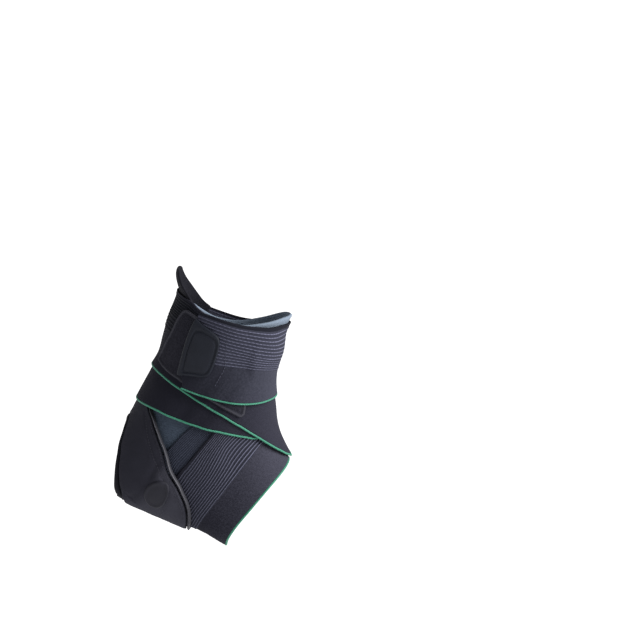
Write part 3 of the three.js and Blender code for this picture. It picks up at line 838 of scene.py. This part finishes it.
def distance_to(points, line):
    """Distance of each point from a line of points."""
    nearest = np.full(points.shape[:-1], 1e9)
    for start, end in zip(line[:-1], line[1:]):
        way = end - start
        share = np.clip(((points - start) @ way) / (way @ way), 0, 1)
        nearest = np.minimum(nearest, np.linalg.norm(points - start - share[..., None] * way, axis=-1))
    return nearest


def panel_height(angle, station):
    """Height of the inner face of the heel panel over the hollow."""
    return pile_height(angle, station) + layer_gap + panel_relief


def pad_share(angle, station):
    """Share of the shaped pad under the panel, from 0 above its crease to 1."""
    a, s = traced(pad_crease)
    order = np.argsort(a)
    level = np.interp(folded_over(angle), a[order], s[order])
    return ease((station - level) * run / 5)


def panel_face(angle, station):
    """Relief of the heel panel: a shaped pad with a crease above it, and sewn grooves."""
    points = skin(angle, station, panel_height(angle, station))
    relief = np.zeros(angle.shape)
    for mirrored in (False, True):
        for rows, width, depth in grooves:
            a, s = traced(rows)
            a = 360 - a if mirrored else a
            line = skin(a, s, panel_height(a, s))
            relief -= depth * np.exp(-((distance_to(points, line) / width) ** 2))
    folded = folded_over(angle)
    pad = pad_share(angle, station)
    fade = ease((folded - 98) / 10) * ease((0.72 - station) / 0.05)
    cushion = ease((folded - 142) / 18) * np.exp(-(((station - 0.638) / 0.03) ** 2))
    return relief + 0.9 * pad * fade + 0.7 * cushion


def ring_of_cloth(name, outs, width, wall, fold, face=None):
    """Ring of cloth round the open heel, from one share of the way out to another."""
    turn, out = np.meshgrid(np.linspace(0, 1, panel_steps + 1)[:-1], outs, indexing="ij")
    angle, station = heel_place(turn, out)
    base = panel_height(angle, station)
    across = (outs - outs[0]) / (outs[-1] - outs[0]) * width
    inset = np.minimum(across, width - across)[None, :]
    lift = wall - rounded(inset, fold) * wall * 0.55
    outer = skin(angle, station, base + lift + (face(angle, station) if face else 0))
    under = outward(angle, station)[..., 2] < -sole_level
    outer[..., 2] = np.where(under & (inset > 0.5), -sole_face, np.maximum(outer[..., 2], -sole_face))
    inner = skin(angle, station, base - bedding)
    return wall_of_cloth(name, outer, inner, True, across)


def spread(start, end, width, step, fold):
    """Shares of the way out from the heel for the rows of a ring of cloth."""
    return start + (end - start) * rows_across(width, step, fold) / width


def read_layer(tree, layer):
    """Share that a piece carries at its points."""
    reader = tree.nodes.new("ShaderNodeAttribute")
    reader.attribute_name = layer
    return reader.outputs["Fac"]


def carry_layer(piece, layer, share):
    """Writes a share on the outer and inner points of a piece of cloth."""
    written = piece.data.attributes.new(layer, "FLOAT", "POINT")
    written.data.foreach_set("value", np.tile(share.ravel(), 2))


def smooth_finish(name, dark, light, pad=None):
    """Smooth dense knit: a very fine grain and soft unevenness, and a painted highlight on the pad."""
    finish, tree, shader = open_finish(name, 0.8, 0.02)
    along, across = cloth_place(tree)
    grain_height = worked(tree, "MULTIPLY", waves(tree, along, 0.6), waves(tree, across, 0.6))
    soft = speckle(tree, 60, 3.0)
    fine = speckle(tree, 1500)
    share = worked(tree, "MULTIPLY_ADD", soft, 0.7, worked(tree, "MULTIPLY_ADD", fine, 0.5, -0.1))
    colour = blended(tree, share, shade(*dark), shade(*light))
    # Painted highlight on the pad.
    if pad:
        pad_highlight_colour = blended(tree, share, shade(*pad[0]), shade(*pad[1]))
        colour = blended(tree, read_layer(tree, "pad"), colour, pad_highlight_colour)
    tree.links.new(colour, shader.inputs["Base Color"])
    raise_pattern(tree, shader, worked(tree, "MULTIPLY_ADD", fine, 0.6, grain_height), 0.0002, 0.6)
    return finish


panel_rows = spread(*panel_spread, panel_width, 0.8, panel_fold)
heel_panel = ring_of_cloth("heel_panel_knit", panel_rows, panel_width, panel_wall, panel_fold, panel_face)
turn, out = np.meshgrid(np.linspace(0, 1, panel_steps + 1)[:-1], panel_rows, indexing="ij")
carry_layer(heel_panel, "pad", pad_share(*heel_place(turn, out)))
# The pad colours are a painted highlight where the lower pad flares out and catches the light.
panel_finish = smooth_finish(
    "smooth_dark_knit", (34, 34, 41), (47, 47, 56), pad=((46, 46, 54), (61, 61, 70))
)
finish_piece(heel_panel, panel_finish, "panel", "heel_panel")

binding_width = 5
binding_spread = (0, 0.11)
heel_binding = ring_of_cloth(
    "heel_binding_tape", spread(*binding_spread, binding_width, 0.4, 1.5), binding_width, panel_wall, 2.2
)
heel_tape = smooth_finish("dark_tape", (20, 20, 25), (33, 33, 39))
finish_piece(heel_binding, heel_tape, "collar", "heel_binding")
front_width = 1.8
front_fold = 0.9
front_spread = (0.978, 1.018)
front_tuck = 1.5
sole_turn = (130, 150)


def tucked(angle, station):
    """How far the front binding is pressed in where it turns under the sole."""
    return -front_tuck * ease((folded_over(angle) - sole_turn[0]) / (sole_turn[1] - sole_turn[0]))


front_rows = spread(*front_spread, front_width, 0.25, front_fold)
front_binding = ring_of_cloth(
    "front_binding_tape", front_rows, front_width, panel_wall + 0.3, front_fold, tucked
)


def tape_finish(name, dark, light, width):
    """Folded tape: dark, with a painted highlight along its crest that fades towards the sole, and fine
    cross ribs.
    """
    finish, tree, shader = open_finish(name, 0.6, 0.05, 0.2)
    along, across = cloth_place(tree)
    apart = worked(tree, "ABSOLUTE", worked(tree, "SUBTRACT", across, width * 0.55))
    crest = worked(tree, "POWER", worked(tree, "SUBTRACT", 1.0, worked(tree, "MINIMUM", apart, 1.0)), 5.5)
    # Painted highlight: the pale crest, patchy and fading towards the sole.
    height = parts_of(tree, object_place(tree))["Z"]
    highlight_by_height = held_in(tree, worked(tree, "MULTIPLY_ADD", height, 55, 3.3), 0.25)
    patchy_highlight = worked(tree, "MULTIPLY", highlight_by_height, worked(tree, "MULTIPLY", speckle(tree, 30), 1.5))
    crest_highlight = worked(tree, "MULTIPLY", crest, patchy_highlight)
    tree.links.new(blended(tree, crest_highlight, shade(*dark), shade(*light)), shader.inputs["Base Color"])
    raise_pattern(tree, shader, waves(tree, along, 0.8), 0.0001, 0.5)
    return finish


front_tape = tape_finish("tape_crest_highlight", (38, 38, 45), (124, 124, 131), front_width)
finish_piece(front_binding, front_tape, "binding", "front_binding")

# Panel stitches. Two rows of short stitches in dark thread on each side hold the front of the heel
# panel down, one along its seam and one beside its front binding.


def stitch_row(lines, length, pitch, thickness):
    """Short plump stitches along lines of points, each with the direction out of the cloth."""
    rings = ((-0.5, 0.35), (-0.3, 1), (0.3, 1), (0.5, 0.35))
    sides = 6
    turn = 2 * math.pi * np.arange(sides) / sides
    points = []
    faces = []
    for line, up in lines:
        steps = np.linalg.norm(np.diff(line, axis=0), axis=1)
        way = np.concatenate([[0], np.cumsum(steps)])
        for at in np.arange(pitch / 2, way[-1], pitch):
            centre = np.array([np.interp(at, way, line[:, i]) for i in range(3)])
            before = np.array([np.interp(at - 0.4, way, line[:, i]) for i in range(3)])
            after = np.array([np.interp(at + 0.4, way, line[:, i]) for i in range(3)])
            along = (after - before) / np.linalg.norm(after - before)
            out = up[min(np.searchsorted(way, at), len(up) - 1)]
            side = np.cross(out, along)
            start = len(points)
            for share, girth in rings:
                for angle in turn:
                    round_it = out * math.cos(angle) + side * math.sin(angle)
                    points.append(centre + along * share * length + round_it * girth * thickness / 2)
            for ring in range(len(rings) - 1):
                for k in range(sides):
                    a = start + ring * sides + k
                    b = start + ring * sides + (k + 1) % sides
                    faces.append((a, a + sides, b + sides, b))
            last = start + (len(rings) - 1) * sides
            faces.append(tuple(start + k for k in range(sides)))
            faces.append(tuple(last + sides - 1 - k for k in range(sides)))
    return points, faces


def sewn(name, lines, length, pitch, thickness, finish, slot):
    """One piece of thread for all the stitches along some lines."""
    points, faces = stitch_row(lines, length, pitch, thickness)
    mesh = bpy.data.meshes.new(name)
    mesh.from_pydata((np.array(points) * mm).tolist(), [], faces)
    mesh.polygons.foreach_set("use_smooth", [True] * len(faces))
    piece = bpy.data.objects.new(name, mesh)
    bpy.context.collection.objects.link(piece)
    finish_piece(piece, finish, slot)


def thread_finish(name, dark, light):
    """Twisted sewing thread."""
    finish, tree, shader = open_finish(name, 0.7, 0.05, 0.15)
    colour = blended(tree, speckle(tree, 2000), shade(*dark), shade(*light))
    tree.links.new(colour, shader.inputs["Base Color"])
    raise_pattern(tree, shader, speckle(tree, 3000), 0.0001, 0.6)
    return finish


panel_lines = []
for rows in (seam_line, front_seam):
    for mirrored in (False, True):
        a, s = traced(rows)
        a = 360 - a if mirrored else a
        lift = panel_height(a, s) + panel_wall + panel_face(a, s) + 0.12
        panel_lines.append((skin(a, s, lift), outward(a, s)))
dark_thread = thread_finish("dark_thread", (38, 38, 46), (64, 64, 74))
sewn("heel_panel_stitches", panel_lines, 1.3, 2, 0.42, dark_thread, "panel")

# Heel discs. A round satin pad of soft rubber is moulded on each side of the heel panel, with a
# raised ring and a slightly hollow middle.
disc_place = (118, 0.645)
disc_radius = 8.2
disc_wall = 0.9
disc_rise = 0.4
disc_steps = ((0.04, 0.5), (0.05, 0.3), (0.05, 0.05), (0.06, -0.35), (0.08, -0.4))
disc_middle = ((0.1, 0.02), (0.12, 0.02), (0.14, 0.02), (0.14, 0.02))


def place_near(angle, station, distance, bearing):
    """Places a distance away from a place, in bearings measured from straight down the brace."""
    per_degree = (hollow(angle + 0.4, station) - hollow(angle - 0.4, station)) / 0.8
    per_station = (hollow(angle, station + 0.001) - hollow(angle, station - 0.001)) / 0.002
    down = per_station / np.linalg.norm(per_station)
    around = per_degree - down * (per_degree @ down)
    around /= np.linalg.norm(around)
    degrees = distance * np.sin(bearing) / (per_degree @ around)
    fall = distance * np.cos(bearing) - degrees * (per_degree @ down)
    return angle + degrees, station + fall / np.linalg.norm(per_station)


def build_up(name, sides, rise, insets):
    """Moulding built up flat from a circle by insets. Gives its points too."""
    bpy.ops.mesh.primitive_circle_add(vertices=sides, radius=1, fill_type="NGON")
    piece = bpy.context.object
    piece.name = name
    bpy.ops.object.mode_set(mode="EDIT")
    bpy.ops.mesh.select_all(action="SELECT")
    bpy.ops.mesh.extrude_region_move(TRANSFORM_OT_translate={"value": (0, 0, rise)})
    for width, height in insets:
        bpy.ops.mesh.inset(thickness=width, depth=height)
    bpy.ops.mesh.poke()
    bpy.ops.object.mode_set(mode="OBJECT")
    return piece, np.array([tuple(v.co) for v in piece.data.vertices])


def press_on(piece, points):
    """Lays a moulding on the brace, with its faces turned outwards."""
    piece.data.vertices.foreach_set("co", (points * mm).ravel())
    bpy.ops.object.mode_set(mode="EDIT")
    bpy.ops.mesh.select_all(action="SELECT")
    bpy.ops.mesh.normals_make_consistent(inside=False)
    bpy.ops.object.mode_set(mode="OBJECT")
    bpy.ops.object.shade_smooth()
    piece.select_set(False)


def satin_finish(name, dark, light, mottle, grain, strength):
    """Moulded satin rubber: soft mottling and a very fine grain."""
    finish, tree, shader = open_finish(name, 0.55, 0, 0.12)
    share = worked(tree, "MULTIPLY_ADD", speckle(tree, mottle, 3.0), 0.8, 0.1)
    tree.links.new(blended(tree, share, shade(*dark), shade(*light)), shader.inputs["Base Color"])
    raise_pattern(tree, shader, speckle(tree, grain), 0.0001, strength)
    return finish


disc_finish = satin_finish("satin_rubber", (31, 31, 38), (43, 43, 51), 90, 2500, 0.4)
for side, angle in (("outer", disc_place[0]), ("inner", 360 - disc_place[0])):
    disc, flat = build_up("heel_disc_" + side + "_rubber", 64, disc_rise, disc_steps + disc_middle)
    distance = np.hypot(flat[:, 0], flat[:, 1]) * disc_radius
    places = place_near(angle, disc_place[1], distance, np.arctan2(flat[:, 1], flat[:, 0]))
    base = panel_height(*places) + panel_wall + panel_face(*places)
    press_on(disc, skin(*places, base + flat[:, 2] * disc_wall + 0.1))
    finish_piece(disc, disc_finish, "disc", "heel_disc_" + side)

# Panel top. The upper end of the heel panel lies under the turns of elastic that follow, so it is
# added to the pile that they are laid on.
panel_span = (140, 220)
panel_top = edge(((138, 0.45), (153, 0.425), (166, 0.412), (180, 0.406)))
panel_foot = edge(((138, 0.48), (180, 0.48)))
pile_up(panel_span, panel_top, panel_foot, layer_gap + panel_wall)

# Ankle wrap. The second turn of the elastic, low round the back of the brace and down over the
# instep, plain where it shows, with a green cord along its lower edge.
hidden_ribs = (1.6, 28.6, 13)
ankle_top = edge(((0, 0.294), (47, 0.283), (90, 0.267), (127, 0.251), (180, 0.246)))
ankle_foot = edge((
    (0, 0.672), (25, 0.657), (40.2, 0.6295), (46.7, 0.6045), (56.3, 0.573), (67.8, 0.543), (79, 0.5205),
    (86.5, 0.506), (97.6, 0.4885), (111.4, 0.472), (125, 0.458), (143.3, 0.4485), (169.7, 0.4435),
    (180, 0.443),
))
ankle_wrap, ankle_hem = lay_cloth(
    "ankle_wrap_elastic", (0, 360), ankle_top, ankle_foot, band_wall,
    rows_across(band_width, 1, 1.2), band_width, 1,
)
# Painted shade: the same elastic as the foot and cuff wraps, in darker colours for its shaded side.
ankle_shaded_finish = elastic_finish(
    "ankle_elastic_shaded", ((31, 31, 39), (46, 46, 56)), (60, 62, 76), (26, 27, 34), hidden_ribs
)
finish_piece(ankle_wrap, ankle_shaded_finish, "elastic", "ankle_wrap")
sew_cord("ankle_piping", ankle_hem)

# Upper wrap. The third turn of the elastic, high round the back and crossing low over the
# instep, with a green cord along its lower edge. Its ribs show behind the closure.
upper_ribs = (1.6, 27, 13)
upper_top = edge(
    ((0, 0.32), (15, 0.305), (50, 0.224), (90, 0.156), (115, 0.138), (127, 0.13), (136, 0.12), (180, 0.12)),
    inner_drop,
)
upper_middle = edge((
    (0, 0.4), (30, 0.39), (50, 0.35), (90, 0.29), (115, 0.262), (136, 0.25), (180, 0.245),
))
upper_foot = edge((
    (0, 0.834), (12.3, 0.8), (23.1, 0.742), (30.6, 0.6875), (36.7, 0.638), (43.8, 0.5875),
    (52.1, 0.546), (66, 0.4937), (79.5, 0.458), (86.1, 0.441), (95.3, 0.421), (102.7, 0.408),
    (110.8, 0.3965), (119.5, 0.387), (129.6, 0.3775), (142, 0.3685), (159, 0.361), (180, 0.358),
))
upper_wrap, upper_hem = lay_band(
    "upper_wrap_elastic", (0, 360), upper_top, upper_middle, upper_foot, upper_ribs, 0.4
)
# Painted shade: the same elastic as the cuff and foot wrap, in darker colours, with its rib crests dimmed
# most.
upper_shaded_finish = elastic_finish(
    "upper_elastic_shaded", ((29, 29, 37), (44, 44, 54)), (42, 43, 53), (21, 22, 28), upper_ribs
)
finish_piece(upper_wrap, upper_shaded_finish, "elastic", "upper_wrap")
sew_cord("upper_piping", upper_hem)

# Loop patch. A dark fuzzy patch of fastening loops, welded round its edge on the outer side of the
# upper wrap, where the closure strap presses down.
patch_wall = 1
patch_width = 32
patch_top = edge((
    (52, 0.36), (60, 0.29), (90, 0.2), (120, 0.16), (133, 0.152), (139, 0.158), (142, 0.18), (145, 0.235),
    (149.5, 0.268), (154, 0.3), (158, 0.322),
))
patch_foot = edge((
    (52, 0.49), (55, 0.503), (59.5, 0.492), (86, 0.422), (115, 0.375), (129, 0.362), (143, 0.351),
    (158, 0.336),
))
patch_span = (52.5, 157.5)
patch_step = 0.7
patch_rows = rows_across(patch_width, 0.6, 0.9)
fuzz = np.random.default_rng(7)


def patch_inset(angle, across):
    """Distance of places on the patch from its outline."""
    rim = np.linspace(*patch_span, 60)
    line = np.concatenate([
        np.stack([rim, patch_top(rim)], 1), np.stack([rim, patch_foot(rim)], 1)[::-1],
        [[rim[0], patch_top(rim[0])]],
    ])
    edge_line = hollow(line[:, 0], line[:, 1])
    station = patch_top(angle) + (patch_foot(angle) - patch_top(angle)) * across / patch_width
    return distance_to(hollow(angle, station), edge_line)


def patch_face(angle, across):
    """Fuzz of the loops inside a flat welded rim."""
    inset = patch_inset(angle, across)
    loops = fuzz.uniform(-0.16, 0.2, angle.shape)
    weld = 0.3 * np.exp(-(((inset - 1) / 0.6) ** 2))
    groove = 0.45 * np.exp(-(((inset - 2.4) / 0.6) ** 2))
    return np.where(inset < 2.6, 0, loops) + weld - groove


loop_patch, _ = lay_cloth(
    "loop_patch_fuzz", patch_span, patch_top, patch_foot, patch_wall, patch_rows, patch_width, patch_step,
    face=patch_face,
)
patch_columns = round((patch_span[1] - patch_span[0]) / patch_step) + 1
angle, across = np.meshgrid(np.linspace(*patch_span, patch_columns), patch_rows, indexing="ij")
# The rim share carries a painted highlight along the raised weld.
carry_layer(loop_patch, "rim", np.exp(-(((patch_inset(angle, across) - 1) / 0.7) ** 2)))
patch_finish, patch_tree, patch_shader = open_finish("fuzzy_loops", 1.0, 0.02)
patch_share = worked(patch_tree, "MULTIPLY_ADD", speckle(patch_tree, 1300, 4.0), 1.6, -0.4)
patch_colour = blended(patch_tree, patch_share, shade(25, 25, 31), shade(50, 50, 59))
# Painted highlight along the welded rim.
patch_colour = blended(patch_tree, read_layer(patch_tree, "rim"), patch_colour, shade(60, 60, 67))
patch_tree.links.new(patch_colour, patch_shader.inputs["Base Color"])
raise_pattern(patch_tree, patch_shader, speckle(patch_tree, 1800, 4.0), 0.0006, 1.0)
finish_piece(loop_patch, patch_finish, "loop", "loop_patch")

# Cuff wrap. The last turn of the elastic, level round the top and closed on the outer side: dashed
# ribs above, a plain half below, a dark folded hem on top and a green cord along the lower edge.
cuff_ribs = (1.9, 27.6, 13)
cuff_span = (-126, 126)
cuff_cord_radius = 0.65
dash_length = 3
cuff_hem_width = 1.7
cuff_top = edge((
    (0, 0.07), (27, 0.08), (38, 0.088), (64, 0.105), (78.5, 0.115), (91, 0.121), (113, 0.13),
    (121, 0.134), (126, 0.14),
), inner_drop)
cuff_middle = edge((
    (0, 0.28), (26, 0.276), (47.5, 0.279), (58, 0.283), (68, 0.287), (77.5, 0.29), (86.5, 0.293),
    (126, 0.297),
))
cuff_foot = edge((
    (0, 0.462), (21, 0.459), (39.5, 0.456), (55, 0.446), (73, 0.428), (97, 0.402), (114.5, 0.387),
    (121, 0.38), (126, 0.363),
))


def cuff_slant(angle, across):
    """Angle of the cloth where the end of the cuff is cut aslant towards its lower edge."""
    return angle - ease((angle - 90) / 36) * (7 + 8.5 * ease((across - 38) / 14))


cuff_wrap, cuff_hem = lay_band(
    "cuff_wrap_elastic", cuff_span, cuff_top, cuff_middle, cuff_foot, cuff_ribs, 0.35, 0.9, cuff_slant
)
cuff_finish = elastic_finish(
    "cuff_elastic", ((33, 34, 42), (57, 58, 69)), (106, 107, 127), (46, 47, 58), cuff_ribs,
    dash_length, cuff_hem_width, crest_power=6.5,
)
finish_piece(cuff_wrap, cuff_finish, "elastic", "cuff_wrap")
seam_rows = ((88, 0.168), (84, 0.225), (80.5, 0.288), (82, 0.335), (83.5, 0.372))
cuff_start = 237.0
start_seam = (0.15, 0.35)
a, s = traced(seam_rows)
seam_points = skin(a, s, pile_height(a, s) + 0.42)
pale_thread = thread_finish("pale_thread", (60, 61, 74), (86, 88, 103))
sewn("cuff_seam_stitches", [(seam_points, outward(a, s))], 1.5, 2.2, 0.4, pale_thread, "elastic")
a = np.full(40, cuff_start)
s = np.linspace(*start_seam, 40)
end_points = skin(a, s, pile_height(a, s) + 0.5)
sewn("cuff_start_stitches", [(end_points, outward(a, s))], 2, 2.8, 0.5, dark_thread, "elastic")
sew_cord("cuff_piping", cuff_hem, cuff_cord_radius)

# Closure tab. A stiff tab of moulded satin rubber, welded on the end of the cuff, with a raised rim
# and a groove inside it round a flat face.
tab_rise = 1.6
rim_steps = ((0.02, 0.4), (0.03, 0.25), (0.03, 0.1), (0.03, 0), (0.03, -0.15))
groove_steps = ((0.02, -0.45), (0.025, -0.2), (0.025, 0), (0.025, 0.2), (0.03, 0.3), (0.04, 0.1))
face_steps = ((0.12, 0),) * 5
tab_outline = (
    (119, 0.163), (119.3, 0.198), (119.5, 0.253), (119.8, 0.312), (118.5, 0.354), (111, 0.352),
    (104, 0.349), (98, 0.348), (93.6, 0.342), (91, 0.33), (90, 0.305), (89.5, 0.263), (89.6, 0.232),
    (91, 0.205), (95, 0.186), (104, 0.175), (111, 0.17), (117, 0.161),
)
tab_recess = (
    (114.6, 0.205), (115, 0.228), (115.5, 0.265), (115.5, 0.312), (114.3, 0.343), (108, 0.342),
    (102.5, 0.34), (98, 0.339), (94.8, 0.335), (92.4, 0.322), (91.4, 0.295), (90.9, 0.262), (91, 0.236),
    (92, 0.213), (95, 0.2), (100, 0.193), (106.5, 0.189), (112, 0.193),
)
recess_reach = 0.86
tab_centre = (105, 0.272)


def closed_curve(values, at):
    """Smooth closed curve through a row of values, read at shares of the way round."""
    count = len(values)
    steps = np.arange(-2, count + 3, dtype=float)
    return curve(steps, np.array([values[int(k) % count] for k in steps], float), np.mod(at, 1) * count)


closure_tab, flat = build_up("closure_tab_moulding", 96, tab_rise, rim_steps + groove_steps + face_steps)
reach = np.hypot(flat[:, 0], flat[:, 1])
way = np.arctan2(flat[:, 1], flat[:, 0]) / (2 * math.pi)
share = np.clip((reach - recess_reach) / (1 - recess_reach), 0, 1)
inside = np.minimum(reach / recess_reach, 1)
place = []
for part in (0, 1):
    rim = closed_curve([row[part] for row in tab_outline], way)
    inner = closed_curve([row[part] for row in tab_recess], way)
    place.append(tab_centre[part] + (inner - tab_centre[part]) * inside + (rim - inner) * share)
press_on(closure_tab, skin(*place, pile_height(*place) + layer_gap - bedding + flat[:, 2]))
tab_finish = satin_finish("moulded_tab", (24, 26, 33), (32, 35, 44), 150, 3000, 0.5)
finish_piece(closure_tab, tab_finish, "tab", "closure_tab")

bpy.context.view_layer.update()
